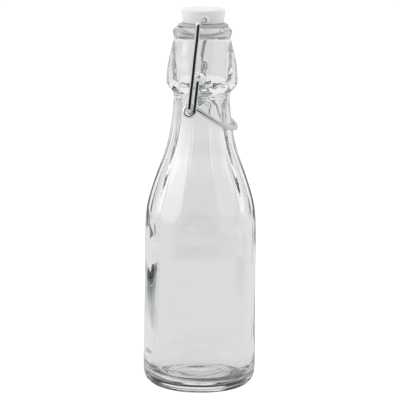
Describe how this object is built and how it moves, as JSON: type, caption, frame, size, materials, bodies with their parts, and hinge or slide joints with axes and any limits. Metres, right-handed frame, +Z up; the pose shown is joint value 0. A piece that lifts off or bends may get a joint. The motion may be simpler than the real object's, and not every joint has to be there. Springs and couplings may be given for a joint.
{
  "type": "swing-top bottle",
  "caption": "Clear glass swing-top bottle with flat moulded panels round its neck and shoulder, a plastic stopper with a rubber gasket, and a hinged wire bail and lever.",
  "frame": {"origin": "on the bottle's axis, on the plane that it stands on", "axes": "+Z up along the bottle's axis, +X towards the tip of the lever's handle, Y along the wire pivots"},
  "size_m": [0.061, 0.061, 0.2054],
  "materials": {
    "clear_glass": "clear moulded glass",
    "white_plastic": "semi-gloss moulded plastic",
    "grey_rubber": "matte translucent grey rubber",
    "plated_wire": "bright plated steel wire"
  },
  "bodies": {
    "bottle": {"bottle": "clear_glass"},
    "lever": {"lever": "plated_wire"},
    "bail": {"bail": "plated_wire"},
    "stopper": {"stopper": "white_plastic", "gasket": "grey_rubber"}
  },
  "joints": [
    {"name": "lever_pivot", "type": "hinge", "parent": "bottle", "child": "lever", "pos_m": [0, 0, 0.17], "axis": [0, -1, 0], "range_deg": [0, 115], "deforming": ["gasket"]},
    {"name": "bail_hinge", "type": "hinge", "parent": "lever", "child": "bail", "pos_m": [-0.0044, 0, 0.1527], "axis": [0, -1, 0], "range_deg": [-74, 0]},
    {"name": "stopper_hinge", "type": "hinge", "parent": "bail", "child": "stopper", "pos_m": [0.0021, 0, 0.2004], "axis": [0, -1, 0], "range_deg": [-42, 0]}
  ],
  "couplings": [
    {"joint": "bail_hinge", "follows": "lever_pivot", "ratio": -0.64},
    {"joint": "stopper_hinge", "follows": "lever_pivot", "ratio": -0.36}
  ]
}
